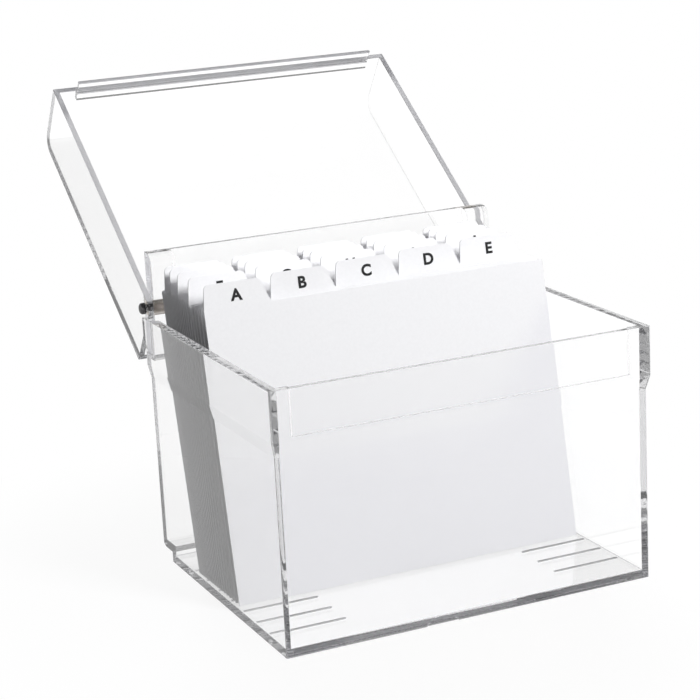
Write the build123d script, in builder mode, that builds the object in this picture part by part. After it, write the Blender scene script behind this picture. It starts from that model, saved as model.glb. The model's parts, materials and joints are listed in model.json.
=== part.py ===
from build123d import *
from math import cos, radians, sin
import os

# Clear card file for six inch wide guide cards: an open-topped tray with two hinge
# ears at the back, a lid that swings on two metal pins, and a set of lettered guide
# cards that lean back in it. Millimetres. X runs along the front, -Y is the front,
# +Z is up, and the origin is the middle of the tray's foot, on the table.

# Guide cards
card_width = 152.4          # the six inch card that the file is made for
filed_card_height = 101.6   # the four inch cards that are kept between the guides
guide_rise = 16.4           # how far a guide's body stands above those
card_thickness = 0.5
card_corner = 1.2
card_count = 25
front_card_lean = 10.8      # degrees back from upright
back_card_lean = 13.05
card_floor_gap = 0.15       # daylight under a card's lower edge
front_card_y = -9.0         # where the foremost card stands on the floor
back_card_clearance = 0.35  # from the last card to the hinge ears
pitch_falloff = 0.93        # each gap between cards, as a share of the one before it

# Index tabs on the cards
tab_columns = 5
tab_height = 10.0
tab_foot_width = 28.6
tab_margin_right = 2.8      # bare shoulder beside the last tab
tab_rise_left = 1.3         # how far the steep left side leans in
tab_rise_right = 3.7        # how far the sloping right side leans in
tab_crown_radius = 2.2
tab_root_radius = 1.8

# Tray
wall = 2.5
floor_thickness = 3.0
card_side_gap = 1.3         # between a card's edge and the side wall
foot_depth = 122.0
mouth_clearance = 0.4       # from a filed card's top edge to the mouth
rear_overhang = 10.8        # the back stands this far behind the foot
rear_step = 4.5             # height at which the overhang starts
rear_step_radius = 3.5
rear_wall_clearance = 2.0   # of the riser above a guide card's height
corner_radius = 0.8
inner_corner_radius = 0.6

# Thickened band round the mouth of the tray
band_height = 20.0
band_ramp = 6.0
band_proud = 1.4
corner_block_width = 5.0
rebate_height = 19.0

# Hinge ears at the back corners
ear_width = 10.6
ear_depth = 7.8
ear_setback = 1.0           # in from the tray's side
ear_crown_radius = 5.0
ear_root = 17.0             # how far each ear runs down inside the tray

# Grooves moulded in the floor, in two columns
groove_count = 7
groove_pitch = 13.25
groove_front_margin = 17.5  # from the front wall's inner face
groove_length = 30.0
groove_width = 1.0
groove_depth = 1.2
groove_wall_gap = 0.8

# Shallow relief round the moulding gate, low on the front
gate_x = -14.0
gate_width = 14.0
gate_height = 3.5
gate_depth = 0.6

# Hinge
pivot_rise = 5.0            # above the tray's mouth
shank_radius = 1.6
running_clearance = 0.05
bushing_radius = 3.2
bushing_length = 5.4
pin_end_gap = 0.3
head_radius = 2.4
head_length = 2.2
head_dome = 1.1

# Lid
lid_open_angle = 144.5      # from shut to where it rests, degrees
lid_card_room = 7.0         # the shut lid's outer face above a guide card's height
lid_panel = 2.5
lid_flange = 2.3
lid_front_reach = 0.5       # beyond the band
lid_ear_gap = 0.5
lid_rim_gap = 0.2           # between lid and tray when shut
lid_bend_radius = 7.0
lid_stop_gap = 0.3          # between the lid's heel and the tray's back when open
tongue_drop = 6.6           # below the lid's rim
tongue_height = 10.4
tongue_thickness = 1.1
tongue_face_gap = 0.5       # from the band's inner face
tongue_end_gap = 0.6        # from the corner blocks

# Sizes that follow from the ones above
card_body_height = filed_card_height + guide_rise
card_height = card_body_height + tab_height
wall_top = floor_thickness + filed_card_height + mouth_clearance
rear_wall_top = floor_thickness + card_height + rear_wall_clearance
lid_top = floor_thickness + card_height + lid_card_room
pivot_height = wall_top + pivot_rise
tray_width = card_width + 2 * (card_side_gap + wall)
half_width = tray_width / 2
inner_half_width = half_width - wall
front_y = -foot_depth / 2
foot_rear_y = foot_depth / 2
rear_y = foot_rear_y + rear_overhang
full_depth = rear_y - front_y
full_centre_y = (rear_y + front_y) / 2
inner_front_y = front_y + wall
inner_rear_y = rear_y - wall
ear_outer_x = half_width - ear_setback
ear_front_y = rear_y - ear_depth
pivot_y = rear_y - ear_depth / 2
band_front_y = front_y - band_proud

corner_search = 0.01        # how close a corner is to where it is looked for

os.makedirs("parts", exist_ok=True)


def write_node(builder, label):
    """Names a finished piece and writes it as its own file."""
    builder.part.label = label
    export_step(builder.part, "parts/" + label + ".step")


def corners_at(sketch, x, y):
    """A sketch's corners at one place, in the sketch's own axes."""
    in_column = sketch.vertices().filter_by_position(
        Axis.X, x - corner_search, x + corner_search
    )
    return in_column.filter_by_position(Axis.Y, y - corner_search, y + corner_search)


# ---------------------------------------------------------------- base tray
with BuildPart() as base_tray:
    # The body, trimmed from the side to a foot that is shorter than what stands on it.
    with BuildSketch():
        with Locations((0, full_centre_y)):
            RectangleRounded(tray_width, full_depth, corner_radius)
    extrude(amount=wall_top)
    with BuildSketch(Plane.YZ) as side_outline:
        with BuildLine():
            Polyline(
                (front_y, 0),
                (foot_rear_y, 0),
                (foot_rear_y, rear_step),
                (rear_y, rear_step),
                (rear_y, wall_top),
                (front_y, wall_top),
                close=True,
            )
        make_face()
        heel = side_outline.vertices().group_by(Axis.X)[-1].sort_by(Axis.Y)[0]
        fillet(heel, rear_step_radius)
    extrude(amount=half_width, both=True, mode=Mode.INTERSECT)

    # The ramp and the band, proud on the front and the sides but not behind.
    band_bottom = wall_top - band_height
    with BuildSketch(Plane.XY.offset(band_bottom - band_ramp)):
        with Locations((0, full_centre_y)):
            RectangleRounded(tray_width, full_depth, corner_radius)
    with BuildSketch(Plane.XY.offset(band_bottom)) as band_section:
        with Locations((0, full_centre_y - band_proud / 2)):
            RectangleRounded(
                tray_width + 2 * band_proud, full_depth + band_proud, corner_radius
            )
    loft()
    extrude(band_section.sketch, amount=band_height)

    # The riser that carries the back wall up between the ears.
    with BuildSketch(Plane.XY.offset(wall_top)):
        with Locations((0, rear_y - wall / 2)):
            Rectangle(2 * (ear_outer_x - ear_width / 2), wall)
    extrude(amount=rear_wall_top - wall_top)

    # The inside: a deep bay over the foot and a shallower one over the overhang.
    bay_top = wall_top - floor_thickness
    with BuildSketch(Plane.XY.offset(floor_thickness)):
        Rectangle(2 * inner_half_width, foot_depth - 2 * wall)
    extrude(amount=bay_top, mode=Mode.SUBTRACT)
    with BuildSketch(Plane.XY.offset(rear_step + floor_thickness)):
        with Locations((0, (inner_front_y + inner_rear_y) / 2)):
            RectangleRounded(
                2 * inner_half_width, inner_rear_y - inner_front_y, inner_corner_radius
            )
    extrude(amount=wall_top - rear_step - floor_thickness, mode=Mode.SUBTRACT)

    # The rebate behind the front of the band, which leaves a block at each corner.
    with BuildSketch(Plane.XY.offset(wall_top)):
        with Locations((0, inner_front_y)):
            Rectangle(2 * (inner_half_width - corner_block_width), 2 * band_proud)
    extrude(amount=-rebate_height, mode=Mode.SUBTRACT)

    # The ears, rounded in front at the top and rooted in the tray's back corners.
    for side in (-1, 1):
        ear_centre_x = side * (ear_outer_x - ear_width / 2)
        with BuildSketch(Plane.YZ.offset(ear_centre_x)) as ear_profile:
            with BuildLine():
                Polyline(
                    (ear_front_y, wall_top - ear_root),
                    (rear_y - wall / 2, wall_top - ear_root),
                    (rear_y - wall / 2, wall_top),
                    (rear_y, wall_top),
                    (rear_y, rear_wall_top),
                    (ear_front_y, rear_wall_top),
                    close=True,
                )
            make_face()
            crown = ear_profile.vertices().group_by(Axis.Y)[-1].sort_by(Axis.X)[0]
            fillet(crown, ear_crown_radius)
        extrude(amount=ear_width / 2, both=True)

    # The bushings' seats, blind from the outside of each ear.
    for side in (-1, 1):
        seat_plane = Plane(
            origin=(side * ear_outer_x, pivot_y, pivot_height),
            x_dir=(0, 1, 0),
            z_dir=(side, 0, 0),
        )
        with BuildSketch(seat_plane):
            Circle(bushing_radius)
        extrude(amount=-bushing_length, mode=Mode.SUBTRACT)

    # The floor's grooves.
    groove_centre_x = inner_half_width - groove_wall_gap - groove_length / 2
    groove_first_y = inner_front_y + groove_front_margin
    groove_centre_y = groove_first_y + (groove_count - 1) * groove_pitch / 2
    with BuildSketch(Plane.XY.offset(floor_thickness)):
        with Locations((0, groove_centre_y)):
            with GridLocations(2 * groove_centre_x, groove_pitch, 2, groove_count):
                SlotOverall(groove_length, groove_width)
    extrude(amount=-groove_depth, mode=Mode.SUBTRACT)

    # The gate's relief, a low arc that is cut off by the foot.
    gate_radius = (gate_width**2 / 4 + gate_height**2) / (2 * gate_height)
    with BuildSketch(Plane.XZ.offset(-front_y)):
        with Locations((gate_x, gate_height - gate_radius)):
            Circle(gate_radius)
    extrude(amount=-gate_depth, mode=Mode.SUBTRACT)

write_node(base_tray, "base_tray")

# ---------------------------------------------------------------- lid
# The lid is drawn as if shut, in a frame whose origin is the pivot, and that frame is
# turned back by lid_open_angle. Its sections are drawn in (a, b): a is how far a
# point lies behind the pivot when the lid is shut, and b how far above it.
open_cos = cos(radians(lid_open_angle))
open_sin = sin(radians(lid_open_angle))
lid_half_width = ear_outer_x + lid_ear_gap + lid_flange
lid_inner_half_width = lid_half_width - lid_flange
lid_front_a = band_front_y - lid_front_reach - pivot_y
lid_rear_a = rear_y - pivot_y
lid_top_b = lid_top - pivot_height
rim_b = wall_top + lid_rim_gap - pivot_height


def lid_plane(x):
    """The section plane of the open lid at x, with a and b as its two axes."""
    return Plane(
        origin=(x, pivot_y, pivot_height),
        x_dir=(0, open_cos, -open_sin),
        z_dir=(1, 0, 0),
    )


# The heel: round the pivot, then clear of the tray's rim and back when the lid is open.
lug_radius = pivot_rise - lid_rim_gap
heel_reach = rear_y + lid_stop_gap - pivot_y
lug_tangent = (lug_radius * open_sin, -lug_radius * open_cos)
heel_corner = (
    heel_reach * open_cos + lug_radius * open_sin,
    heel_reach * open_sin - lug_radius * open_cos,
)
heel_run = (lid_rear_a - heel_reach * open_cos) / open_sin
heel_top = (lid_rear_a, heel_reach * open_sin - heel_run * open_cos)
lug_mid_angle = radians((lid_open_angle - 180) / 2)
lug_side = (lug_radius * cos(lug_mid_angle), lug_radius * sin(lug_mid_angle))

with BuildPart() as lid:
    # The whole block of the lid, with its bend along the front.
    with BuildSketch(lid_plane(0)) as lid_outline:
        with BuildLine():
            Polyline(
                (0, rim_b),
                (lid_front_a, rim_b),
                (lid_front_a, lid_top_b),
                (lid_rear_a, lid_top_b),
                heel_top,
                heel_corner,
                lug_tangent,
            )
            ThreePointArc(lug_tangent, lug_side, (0, rim_b))
        make_face()
        bend = lid_outline.vertices().group_by(Axis.Y)[-1].sort_by(Axis.X)[0]
        fillet(bend, lid_bend_radius)
    extrude(amount=lid_half_width, both=True)

    # The hollow, open below and behind.
    hollow_front_a = lid_front_a + lid_flange
    hollow_top_b = lid_top_b - lid_panel
    hollow_rear_a = lid_rear_a + lid_flange
    hollow_low_b = rim_b - lid_flange
    with BuildSketch(lid_plane(0)) as hollow_outline:
        with BuildLine():
            Polyline(
                (hollow_front_a, hollow_low_b),
                (hollow_front_a, hollow_top_b),
                (hollow_rear_a, hollow_top_b),
                (hollow_rear_a, hollow_low_b),
                close=True,
            )
        make_face()
        inner_bend = hollow_outline.vertices().group_by(Axis.Y)[-1].sort_by(Axis.X)[0]
        fillet(inner_bend, lid_bend_radius - lid_panel)
    extrude(amount=lid_inner_half_width, both=True, mode=Mode.SUBTRACT)

    # The tongue inside the front, which drops behind the band between its blocks.
    tongue_front_a = inner_front_y - band_proud + tongue_face_gap - pivot_y
    tongue_rear_a = tongue_front_a + tongue_thickness
    tongue_low_b = rim_b - tongue_drop
    tongue_top_b = tongue_low_b + tongue_height
    with BuildSketch(lid_plane(0)):
        with BuildLine():
            Polyline(
                (tongue_front_a, tongue_low_b),
                (tongue_rear_a, tongue_low_b),
                (tongue_rear_a, tongue_top_b),
                (hollow_front_a - lid_flange / 2, tongue_top_b),
                (hollow_front_a - lid_flange / 2, rim_b + lid_rim_gap),
                (tongue_front_a, rim_b + lid_rim_gap),
                close=True,
            )
        make_face()
    extrude(amount=inner_half_width - corner_block_width - tongue_end_gap, both=True)

    # The holes that grip the pins.
    with BuildSketch(lid_plane(0)):
        Circle(shank_radius)
    extrude(amount=2 * lid_half_width, both=True, mode=Mode.SUBTRACT)

write_node(lid, "lid")

# ---------------------------------------------------------------- hinge hardware
bushing_inner_x = ear_outer_x - bushing_length
for side, side_name in ((-1, "left"), (1, "right")):
    pivot_plane = Plane(
        origin=(0, pivot_y, pivot_height), x_dir=(0, 1, 0), z_dir=(side, 0, 0)
    )

    # A plain sleeve, seated in the ear.
    with BuildPart() as bushing:
        with BuildSketch(pivot_plane.offset(bushing_inner_x)):
            Circle(bushing_radius)
            Circle(shank_radius + running_clearance, mode=Mode.SUBTRACT)
        extrude(amount=bushing_length)
    write_node(bushing, "hinge_bushing_" + side_name)

    # A rivet-shaped pin: the shank turns in the sleeve, the head sits on the lid.
    with BuildPart() as pin:
        with BuildSketch(pivot_plane.offset(bushing_inner_x + pin_end_gap)):
            Circle(shank_radius)
        extrude(amount=lid_half_width - bushing_inner_x - pin_end_gap)
        with BuildSketch(pivot_plane.offset(lid_half_width)):
            Circle(head_radius)
        extrude(amount=head_length)
        head_rim = pin.edges().filter_by(GeomType.CIRCLE).sort_by(Axis.X)
        fillet(head_rim[-1] if side > 0 else head_rim[0], head_dome)
    write_node(pin, "hinge_pin_" + side_name)

# ---------------------------------------------------------------- guide cards
# The cards lean back on one another, each a little more than the one before it. The
# last one nearly touches the ears, and the gaps at the floor close up steadily from
# front to back.
card_foot_z = floor_thickness + card_floor_gap
back_card_y = (
    ear_front_y - back_card_clearance - card_height * sin(radians(back_card_lean))
    - card_thickness / (2 * cos(radians(back_card_lean)))
)
lean_step = (back_card_lean - front_card_lean) / (card_count - 1)
falloff_sum = sum(pitch_falloff**step for step in range(card_count - 1))
first_gap = (back_card_y - front_card_y) / falloff_sum
tab_pitch = (card_width - tab_margin_right - tab_foot_width) / (tab_columns - 1)

letters = [chr(ord("a") + step) for step in range(card_count - 2)] + ["xy", "z"]
card_y = front_card_y
for index in range(card_count):
    # The foot of the card is the sketch's origin, with the card's own height as Y.
    lean = radians(front_card_lean + index * lean_step)
    card_plane = Plane(
        origin=(0, card_y, card_foot_z), x_dir=(1, 0, 0), z_dir=(0, -cos(lean), sin(lean))
    )
    tab_left = (index % tab_columns) * tab_pitch - card_width / 2
    tab_right = tab_left + tab_foot_width
    with BuildPart() as card:
        with BuildSketch(card_plane) as card_face:
            with Locations((0, card_body_height / 2)):
                Rectangle(card_width, card_body_height)
            with BuildLine():
                Polyline(
                    (tab_left, card_body_height),
                    (tab_left + tab_rise_left, card_height),
                    (tab_right - tab_rise_right, card_height),
                    (tab_right, card_body_height),
                    close=True,
                )
            make_face()
            fillet(card_face.vertices().group_by(Axis.Y)[-1], tab_crown_radius)
            fillet(corners_at(card_face, tab_right, card_body_height), tab_root_radius)
            fillet(corners_at(card_face, card_width / 2, card_body_height), card_corner)
            if index % tab_columns:
                left_corner = corners_at(card_face, -card_width / 2, card_body_height)
                fillet(left_corner, card_corner)
        extrude(amount=card_thickness / 2, both=True)
    write_node(card, "divider_" + letters[index])
    card_y += first_gap * pitch_falloff**index
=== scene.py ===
import json
from math import asin, cos, radians, sin

import bpy
import numpy as np
from mathutils import Matrix, Vector


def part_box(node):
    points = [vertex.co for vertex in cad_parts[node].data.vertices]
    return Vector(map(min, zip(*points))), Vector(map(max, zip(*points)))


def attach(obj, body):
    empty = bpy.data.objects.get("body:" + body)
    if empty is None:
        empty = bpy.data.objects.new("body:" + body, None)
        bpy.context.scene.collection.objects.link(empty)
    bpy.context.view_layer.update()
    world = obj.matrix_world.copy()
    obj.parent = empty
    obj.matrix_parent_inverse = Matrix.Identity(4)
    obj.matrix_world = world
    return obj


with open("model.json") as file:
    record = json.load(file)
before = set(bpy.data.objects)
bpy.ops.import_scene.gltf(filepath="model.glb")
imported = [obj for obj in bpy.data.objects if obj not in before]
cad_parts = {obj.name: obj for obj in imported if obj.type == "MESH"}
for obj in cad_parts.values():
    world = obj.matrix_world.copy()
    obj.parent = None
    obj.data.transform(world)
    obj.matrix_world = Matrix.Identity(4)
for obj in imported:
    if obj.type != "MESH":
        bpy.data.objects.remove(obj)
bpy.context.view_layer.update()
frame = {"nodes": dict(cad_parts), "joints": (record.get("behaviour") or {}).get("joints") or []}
MM = 0.001

# ------------------------------------------------------------------ sizes, from the frame
JOINTS = {joint["name"]: joint for joint in frame["joints"]}
PIVOT = Vector(JOINTS["lid_hinge"]["pos_m"])
CARD_NODES = sorted(
    (name for name in frame["nodes"] if name.startswith("divider_")),
    key=lambda name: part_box(name)[0].y,
)


# ------------------------------------------------------------------ small helpers
def linear(code):
    """A colour written as sRGB hex, as the linear values that shaders take."""
    parts = [int(code[i : i + 2], 16) / 255 for i in (1, 3, 5)]
    curved = [p / 12.92 if p <= 0.04045 else ((p + 0.055) / 1.055) ** 2.4 for p in parts]
    return (*curved, 1.0)


def add(tree, kind, links=None, inputs=None, **settings):
    """Adds a node, with its settings, its unlinked inputs and the sockets that feed it."""
    node = tree.nodes.new(kind)
    for name, value in settings.items():
        setattr(node, name, value)
    for name, value in (inputs or {}).items():
        node.inputs[name].default_value = value
    for name, socket in (links or {}).items():
        tree.links.new(socket, node.inputs[name])
    return node


def empty_material(name):
    """A node material with nothing in it, and its tree."""
    material = bpy.data.materials.new(name)
    material.use_nodes = True
    material.node_tree.nodes.clear()
    return material, material.node_tree


def put_on(obj, material):
    """Gives every face of an object one material."""
    obj.data.materials.clear()
    obj.data.materials.append(material)


def new_piece(name, mesh, material, body):
    """A finished mesh as an object at the origin that rides on a body."""
    piece = bpy.data.objects.new(name, mesh)
    bpy.context.scene.collection.objects.link(piece)
    put_on(piece, material)
    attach(piece, body)


def mesh_points(mesh):
    """The places of a mesh's points, one row each."""
    points = np.empty(len(mesh.vertices) * 3)
    mesh.vertices.foreach_get("co", points)
    return points.reshape(-1, 3)


# ------------------------------------------------------------------ materials
# Where the floor's grooves lie, as a middle and a reach either way along each axis. It
# takes in no other surface: Z runs from under their bottoms to just short of the floor.
GROOVE_SPANS = {"X": (0.0, 77.0 * MM), "Y": (0.0, 80.0 * MM), "Z": (2.2 * MM, 0.75 * MM)}
FLANGE_X = 79.5 * MM            # only the lid's side flanges lie further out than this
RIM_BAND = 0.3 * MM             # how far the matt band, painted grey as shade, strays from the rim and the tip
TIP_BAND = 0.9 * MM
FROST_ROUGHNESS = 0.5


def groove_frost_and_shade(tree, place):
    """1 inside the floor's grooves, which keep the mould's tooth and are painted grey as painted
    shade, and 0 elsewhere.
    """
    split = add(tree, "ShaderNodeSeparateXYZ", {"Vector": place})
    inside = [
        add(tree, "ShaderNodeMath", {0: split.outputs[axis]}, {1: middle, 2: reach},
            operation="COMPARE").outputs["Value"]
        for axis, (middle, reach) in GROOVE_SPANS.items()
    ]
    flat = add(tree, "ShaderNodeMath", {0: inside[0], 1: inside[1]}, operation="MULTIPLY")
    return add(tree, "ShaderNodeMath", {0: flat.outputs["Value"], 1: inside[2]},
               operation="MULTIPLY").outputs["Value"]


def rim_frost_and_shade(tree, place):
    """1 on the lid's rim and on the tip of its tongue, which are left unpolished and painted
    grey as painted shade.

    Both are told by how far a place lies from the hinge's axis, along the way that the
    rim faces as the lid stands open. Only the tongue reaches further than the rim.
    """
    turn = radians(JOINTS["lid_hinge"]["range_deg"][1])
    way = Vector((0, -sin(turn), -cos(turn)))
    points = mesh_points(frame["nodes"]["lid"].data)
    reach = (points - np.array(PIVOT)) @ np.array(way)
    rim_reach = reach[np.abs(points[:, 0]) > FLANGE_X].max()
    from_axis = add(tree, "ShaderNodeVectorMath", {0: place}, {1: PIVOT},
                    operation="SUBTRACT")
    out = add(tree, "ShaderNodeVectorMath", {0: from_axis.outputs["Vector"]}, {1: way},
              operation="DOT_PRODUCT").outputs["Value"]
    rim = add(tree, "ShaderNodeMath", {0: out}, {1: float(rim_reach), 2: RIM_BAND},
              operation="COMPARE")
    tip = add(tree, "ShaderNodeMath", {0: out}, {1: float(reach.max()) - TIP_BAND},
              operation="GREATER_THAN")
    return add(tree, "ShaderNodeMath", {0: rim.outputs["Value"], 1: tip.outputs["Value"]},
               operation="MAXIMUM").outputs["Value"]


def clear_moulded_plastic(name, frost_and_shade_mask):
    """Clear moulded acrylic, polished in the mould but for what the mask marks, which is left
    matt and painted grey: painted shade for the dark lines at edges and grooves.

    To the eye it is all edge: faces vanish but for a faint sheen, and the light that
    runs inside the walls comes out grey at the rims, with a breath of lavender.
    """
    material, tree = empty_material(name)
    place = add(tree, "ShaderNodeTexCoord").outputs["Object"]
    # Flow waves left by the mould, about 30 mm apart, far too shallow to be felt.
    waves = add(tree, "ShaderNodeTexNoise", {"Vector": place},
                {"Scale": 34.0, "Detail": 1.0, "Roughness": 0.4})
    # The mould leaves every edge a little round, which draws a fine line along it.
    edges = add(tree, "ShaderNodeBevel", None, {"Radius": 0.5 * MM}, samples=4)
    bump = add(tree, "ShaderNodeBump",
               {"Height": waves.outputs["Fac"], "Normal": edges.outputs["Normal"]},
               {"Strength": 0.03, "Distance": 0.3 * MM})
    # Marked places are left matt, which scatters what passes them, and painted greyer: painted
    # shade for the dark lines that rims and grooves show.
    frost_and_shade = frost_and_shade_mask(tree, place)
    painted_shade_tint = add(tree, "ShaderNodeMix", {"Factor": frost_and_shade}, data_type="RGBA")
    painted_shade_tint.inputs[6].default_value = linear("#fefefe")
    painted_shade_tint.inputs[7].default_value = linear("#a8a8ac")
    # Handling haze: patches about 8 mm across, drawn in roughness alone.
    haze = add(tree, "ShaderNodeTexNoise", {"Vector": place},
               {"Scale": 120.0, "Detail": 3.0, "Roughness": 0.55})
    rough = add(tree, "ShaderNodeMapRange", {"Value": haze.outputs["Fac"]},
                {"From Min": 0.45, "From Max": 0.8, "To Min": 0.0, "To Max": 0.025})
    finish = add(tree, "ShaderNodeMath", {0: frost_and_shade, 2: rough.outputs["Result"]},
                 {1: FROST_ROUGHNESS}, operation="MULTIPLY_ADD")
    body = add(tree, "ShaderNodeBsdfPrincipled",
               {"Base Color": painted_shade_tint.outputs[2], "Roughness": finish.outputs["Value"],
                "Normal": bump.outputs["Normal"]},
               {"IOR": 1.49, "Transmission Weight": 1.0})
    # Lamps shine through the walls onto the cards, as they do through real acrylic.
    through = add(tree, "ShaderNodeBsdfTransparent", None, {"Color": linear("#fdfdfe")})
    path = add(tree, "ShaderNodeLightPath")
    mix = add(tree, "ShaderNodeMixShader",
              {0: path.outputs["Is Shadow Ray"], 1: body.outputs["BSDF"],
               2: through.outputs["BSDF"]})
    depth = add(tree, "ShaderNodeVolumeAbsorption", None,
                {"Color": linear("#8d8d93"), "Density": 3.5})
    add(tree, "ShaderNodeOutputMaterial",
        {"Surface": mix.outputs["Shader"], "Volume": depth.outputs["Volume"]})
    return material


def card_stock():
    """Smooth white index stock: matt, with a fine fibre mottle and a faint tooth."""
    material, tree = empty_material("white_index_stock")
    place = add(tree, "ShaderNodeTexCoord").outputs["Object"]
    # Fibre clumps about 1 mm across, drawn larger than life so that they show.
    fibres = add(tree, "ShaderNodeTexNoise", {"Vector": place},
                 {"Scale": 900.0, "Detail": 3.0, "Roughness": 0.5})
    tone = add(tree, "ShaderNodeMapRange", {"Value": fibres.outputs["Fac"]},
               {"From Min": 0.3, "From Max": 0.7, "To Min": 0.0, "To Max": 1.0})
    colour = add(tree, "ShaderNodeMix", {"Factor": tone.outputs["Result"]},
                 data_type="RGBA")
    colour.inputs[6].default_value = linear("#f1f1f3")
    colour.inputs[7].default_value = linear("#f4f4f6")
    bump = add(tree, "ShaderNodeBump", {"Height": fibres.outputs["Fac"]},
               {"Strength": 0.08, "Distance": 0.05 * MM})
    body = add(tree, "ShaderNodeBsdfPrincipled",
               {"Base Color": colour.outputs[2], "Normal": bump.outputs["Normal"]},
               {"Roughness": 0.62, "IOR": 1.46, "Specular IOR Level": 0.3})
    add(tree, "ShaderNodeOutputMaterial", {"Surface": body.outputs["BSDF"]})
    return material


def printed_ink():
    """Black offset ink: matt, a little uneven where the stock shows through."""
    material, tree = empty_material("black_printing_ink")
    place = add(tree, "ShaderNodeTexCoord").outputs["Object"]
    grain = add(tree, "ShaderNodeTexNoise", {"Vector": place},
                {"Scale": 2200.0, "Detail": 2.0})
    colour = add(tree, "ShaderNodeMix", {"Factor": grain.outputs["Fac"]},
                 data_type="RGBA")
    colour.inputs[6].default_value = linear("#141415")
    colour.inputs[7].default_value = linear("#29292b")
    body = add(tree, "ShaderNodeBsdfPrincipled", {"Base Color": colour.outputs[2]},
               {"Roughness": 0.55})
    add(tree, "ShaderNodeOutputMaterial", {"Surface": body.outputs["BSDF"]})
    return material


def turned_metal(name, dark, light, roughness):
    """Small turned hardware: fine rings round the hinge's axis under a soft plating."""
    material, tree = empty_material(name)
    place = add(tree, "ShaderNodeTexCoord").outputs["Object"]
    centred = add(tree, "ShaderNodeMapping", {"Vector": place}, {"Location": -PIVOT})
    # Turning marks run round the axis, so they vary only along X; 0.4 mm apart.
    rings = add(tree, "ShaderNodeTexWave", {"Vector": centred.outputs["Vector"]},
                {"Scale": 400.0, "Distortion": 1.0, "Detail": 2.0},
                wave_type="BANDS", bands_direction="X")
    colour = add(tree, "ShaderNodeMix", {"Factor": rings.outputs["Fac"]},
                 data_type="RGBA")
    colour.inputs[6].default_value = linear(dark)
    colour.inputs[7].default_value = linear(light)
    bump = add(tree, "ShaderNodeBump", {"Height": rings.outputs["Fac"]},
               {"Strength": 0.15, "Distance": 0.05 * MM})
    body = add(tree, "ShaderNodeBsdfPrincipled",
               {"Base Color": colour.outputs[2], "Normal": bump.outputs["Normal"]},
               {"Metallic": 1.0, "Roughness": roughness})
    add(tree, "ShaderNodeOutputMaterial", {"Surface": body.outputs["BSDF"]})
    return material


TRAY_CLEAR = clear_moulded_plastic("clear_moulded_acrylic_tray", groove_frost_and_shade)
LID_CLEAR = clear_moulded_plastic("clear_moulded_acrylic_lid", rim_frost_and_shade)
STOCK = card_stock()
INK = printed_ink()
PIN_METAL = turned_metal("nickel_plated_steel", "#4f4e50", "#6c6b6d", 0.22)
SLEEVE_METAL = turned_metal("turned_bronze_sleeve", "#a39a90", "#bbb1a6", 0.38)

for name, node in frame["nodes"].items():
    if name.startswith("divider_"):
        put_on(node, STOCK)
    elif name.startswith("hinge_pin"):
        put_on(node, PIN_METAL)
    elif name.startswith("hinge_bushing"):
        put_on(node, SLEEVE_METAL)
    else:
        put_on(node, LID_CLEAR if name == "lid" else TRAY_CLEAR)


# ------------------------------------------------------------------ printed letters
# Each letter is centred on its tab but for a nudge to the right, close under the top.
LETTER_HEIGHT = 4.9 * MM
LETTER_DROP = 5.3 * MM          # the letter's middle, below the tab's top
LETTER_NUDGE = 1.0 * MM
LETTER_WEIGHT = 0.036           # how far the strokes are fattened, at size one
INK_THICKNESS = 0.02 * MM
TAB_EDGE_BAND = 0.1 * MM        # below its top, where a tab's top edge is measured


def letter_mesh(text):
    """A word in plain bold capitals at size one, centred, lying flat and one unit thick."""
    curve = bpy.data.curves.new("letter", "FONT")
    curve.body = text
    curve.offset = LETTER_WEIGHT
    curve.resolution_u = 6
    curve.extrude = 0.5
    holder = bpy.data.objects.new("letter", curve)
    bpy.context.scene.collection.objects.link(holder)
    bpy.context.view_layer.update()
    graph = bpy.context.evaluated_depsgraph_get()
    mesh = bpy.data.meshes.new_from_object(holder.evaluated_get(graph))
    bpy.data.objects.remove(holder)
    bpy.data.curves.remove(curve)
    points = mesh_points(mesh)
    points -= (points.max(0) + points.min(0)) / 2
    mesh.vertices.foreach_set("co", points.ravel())
    mesh.update()
    return mesh


def tab_frame(node, foot):
    """A card's own axes: the middle of its tab's top edge, the way up and the way out."""
    points = mesh_points(frame["nodes"][node].data)
    top = points[points[:, 2] > points[:, 2].max() - TAB_EDGE_BAND]
    across = (top[:, 0].min() + top[:, 0].max()) / 2
    # The top edge is a strip as deep as the card is thick; its front corner is lower.
    along = Vector((0, top[:, 1].mean() - foot.y, top[:, 2].mean() - foot.z))
    up = along.normalized()
    out = Vector((1, 0, 0)).cross(up)
    return Vector((across, foot.y, foot.z)) + along, up, out


def print_letters():
    """Prints each card's letter on its tab, on the face that looks at the reader."""
    scale = LETTER_HEIGHT / np.ptp(mesh_points(letter_mesh("E"))[:, 1])
    for node in CARD_NODES:
        letter = node.removeprefix("divider_")
        foot = Vector(JOINTS["card_" + letter + "_tilt"]["pos_m"])
        top, up, out = tab_frame(node, foot)
        # The printed face is where the card's own points lie furthest out.
        face = (mesh_points(frame["nodes"][node].data) @ np.array(out)).max()
        centre = top - up * LETTER_DROP + Vector((LETTER_NUDGE, 0, 0))
        centre += out * (face - centre.dot(out))
        mesh = letter_mesh(letter.upper())
        mesh.name = "printed_letter_" + letter
        mesh.transform(Matrix((
            (scale, 0, 0, centre.x),
            (0, up.y * scale, out.y * INK_THICKNESS, centre.y),
            (0, up.z * scale, out.z * INK_THICKNESS, centre.z),
            (0, 0, 0, 1),
        )))
        new_piece(mesh.name, mesh, INK, "card_" + letter)


print_letters()


# ------------------------------------------------------------------ studio
# What glass and mirrors see of the white round the object: a little over white, so
# that it still comes out white through two walls of the tray.
WHITE_THROUGH_GLASS = 1.1
# The table as the outer faces mirror it: dimmer, as the foot of a lit sweep is.
TABLE_IN_MIRROR = 0.55
# What matt surfaces gather from the same studio: a dim room and a mid grey table.
ROOM_FILL = 0.07
TABLE_GREY = "#6c6c6c"
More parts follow.
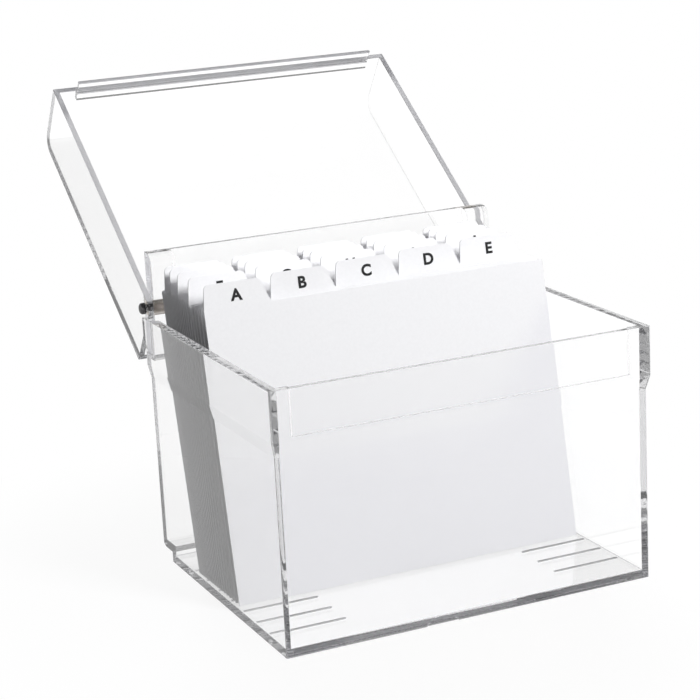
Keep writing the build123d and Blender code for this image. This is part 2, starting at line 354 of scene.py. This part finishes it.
# How much of the table's white is its own and takes no shadow.
TABLE_GLOW = 0.9
# How far from the origin that share starts to grow, and where it is the whole.
GLOW_FROM, GLOW_WHOLE = 0.11, 0.24
TABLE_HALF = 1.2
TABLE_GAP = 0.2 * MM            # below the foot, so that the two faces don't meet
# Overhead, from one height of a ray's way to the other, the white falls to this grey.
SKY_WHITE_BELOW, SKY_GREY_ABOVE, SKY_GREY = 0.12, 0.4, 0.25
BOX_MIDDLE = (0.0, 0.0, 0.08)   # what every lamp looks at


def eye_rays(tree):
    """Light paths: 1 for the camera's own, and 1 for those that have met a matt surface."""
    path = add(tree, "ShaderNodeLightPath")
    gathered = add(tree, "ShaderNodeMath", {0: path.outputs["Diffuse Depth"]}, {1: 0.5},
                   operation="GREATER_THAN")
    return path.outputs["Is Camera Ray"], gathered.outputs["Value"]


def studio_table():
    """A pale table: white to the eye all round, and darkened by the object's shadow.

    Near the object it is a matt white that takes shadow. Further out it turns into an
    even white, so that it has no horizon.
    """
    corners = [(x * TABLE_HALF, y * TABLE_HALF, 0)
               for x, y in ((-1, -1), (1, -1), (1, 1), (-1, 1))]
    mesh = bpy.data.meshes.new("table")
    mesh.from_pydata(corners, [], [(0, 1, 2, 3)])
    table = bpy.data.objects.new("table", mesh)
    table.location.z = -TABLE_GAP
    bpy.context.scene.collection.objects.link(table)
    material, tree = empty_material("matt_white_table")
    camera_ray, gathered = eye_rays(tree)
    plain = add(tree, "ShaderNodeMapRange", {"Value": camera_ray},
                {"To Min": WHITE_THROUGH_GLASS, "To Max": 1.0})
    # Light that only bounced off a face, and didn't pass through one.
    path = add(tree, "ShaderNodeLightPath")
    mirrored = add(tree, "ShaderNodeMath",
                   {0: path.outputs["Is Glossy Ray"], 1: path.outputs["Is Transmission Ray"]},
                   operation="SUBTRACT", use_clamp=True)
    strength = add(tree, "ShaderNodeMix",
                   {"Factor": mirrored.outputs["Value"], "A": plain.outputs["Result"]},
                   {"B": TABLE_IN_MIRROR})
    glow = add(tree, "ShaderNodeEmission", {"Strength": strength.outputs["Result"]},
               {"Color": (1, 1, 1, 1)})
    matt = add(tree, "ShaderNodeBsdfDiffuse", None, {"Color": linear("#f2f2f2")})
    place = add(tree, "ShaderNodeTexCoord").outputs["Object"]
    distance = add(tree, "ShaderNodeVectorMath", {0: place}, operation="LENGTH")
    share = add(tree, "ShaderNodeMapRange", {"Value": distance.outputs["Value"]},
                {"From Min": GLOW_FROM, "From Max": GLOW_WHOLE, "To Min": TABLE_GLOW},
                interpolation_type="SMOOTHSTEP")
    white = add(tree, "ShaderNodeMixShader",
                {0: share.outputs["Result"], 1: matt.outputs["BSDF"],
                 2: glow.outputs["Emission"]})
    grey = add(tree, "ShaderNodeBsdfDiffuse", None, {"Color": linear(TABLE_GREY)})
    final = add(tree, "ShaderNodeMixShader",
                {0: gathered, 1: white.outputs["Shader"], 2: grey.outputs["BSDF"]})
    add(tree, "ShaderNodeOutputMaterial", {"Surface": final.outputs["Shader"]})
    put_on(table, material)


def studio_world():
    """White all round to the eye, mirrors and glass, and grey overhead for the edges."""
    world = bpy.data.worlds.new("studio")
    bpy.context.scene.world = world
    world.use_nodes = True
    tree = world.node_tree
    tree.nodes.clear()
    camera_ray, gathered = eye_rays(tree)
    place = add(tree, "ShaderNodeTexCoord").outputs["Generated"]
    split = add(tree, "ShaderNodeSeparateXYZ", {"Vector": place})
    height = add(tree, "ShaderNodeMapRange", {"Value": split.outputs["Z"]},
                 {"From Min": SKY_WHITE_BELOW, "From Max": SKY_GREY_ABOVE,
                  "To Min": WHITE_THROUGH_GLASS, "To Max": SKY_GREY})
    plain = add(tree, "ShaderNodeMix", {"Factor": camera_ray, "A": height.outputs["Result"]},
                {"B": 1.0})
    strength = add(tree, "ShaderNodeMix", {"Factor": gathered, "A": plain.outputs["Result"]},
                   {"B": ROOM_FILL})
    sky = add(tree, "ShaderNodeBackground", {"Strength": strength.outputs["Result"]},
              {"Color": (1, 1, 1, 1)})
    add(tree, "ShaderNodeOutputWorld", {"Surface": sky.outputs["Background"]})


def softbox(name, place, size, power):
    """A square lamp with a soft face, turned to look at the object's middle."""
    lamp = bpy.data.lights.new(name, "AREA")
    lamp.shape = "SQUARE"
    lamp.size = size
    lamp.energy = power
    holder = bpy.data.objects.new(name, lamp)
    # The walls already let this lamp's light through, so glass doesn't add it again.
    holder.visible_transmission = False
    holder.visible_glossy = False
    holder.location = place
    way = Vector(BOX_MIDDLE) - Vector(place)
    holder.rotation_euler = way.to_track_quat("-Z", "Y").to_euler()
    bpy.context.scene.collection.objects.link(holder)


studio_table()
studio_world()
softbox("key", (0.75, -1.2, 0.95), 0.5, 30.0)
softbox("top", (-0.1, 0.2, 1.7), 1.2, 2.5)
softbox("side", (-1.3, -0.35, 0.7), 0.5, 0.8)
softbox("back", (0.3, 1.4, 0.8), 0.6, 20.0)


# ------------------------------------------------------------------ camera
def photograph_camera():
    """The photograph's viewpoint, from where the tray's corners fall in its frame."""
    frame_pixels = 700
    focal_pixels = 2160.0
    place = Vector((-363.0, -760.8, 320.2)) * MM
    yaw, fall = radians(24.26), radians(14.95)
    roll = asin(sin(radians(-2.83)) / cos(fall))
    ahead = Vector((sin(yaw) * cos(fall), cos(yaw) * cos(fall), -sin(fall)))
    level = Vector((cos(yaw), -sin(yaw), 0))
    rise = level.cross(ahead)
    right = level * cos(roll) + rise * sin(roll)
    up = right.cross(ahead)
    camera = bpy.data.cameras.new("camera")
    camera.sensor_width = 36.0
    camera.lens = focal_pixels / frame_pixels * camera.sensor_width
    camera.clip_start = 0.01
    camera.clip_end = 20.0
    holder = bpy.data.objects.new("camera", camera)
    holder.matrix_world = Matrix((
        (right.x, up.x, -ahead.x, place.x),
        (right.y, up.y, -ahead.y, place.y),
        (right.z, up.z, -ahead.z, place.z),
        (0, 0, 0, 1),
    ))
    bpy.context.scene.collection.objects.link(holder)
    bpy.context.scene.camera = holder


photograph_camera()

settings = bpy.context.scene
settings.view_settings.view_transform = "Standard"
# Light that runs inside the walls meets many faces before it leaves them at an edge.
WALL_BOUNCES = 64
settings.cycles.max_bounces = WALL_BOUNCES
settings.cycles.transmission_bounces = WALL_BOUNCES
settings.cycles.glossy_bounces = WALL_BOUNCES
settings.cycles.transparent_max_bounces = 24
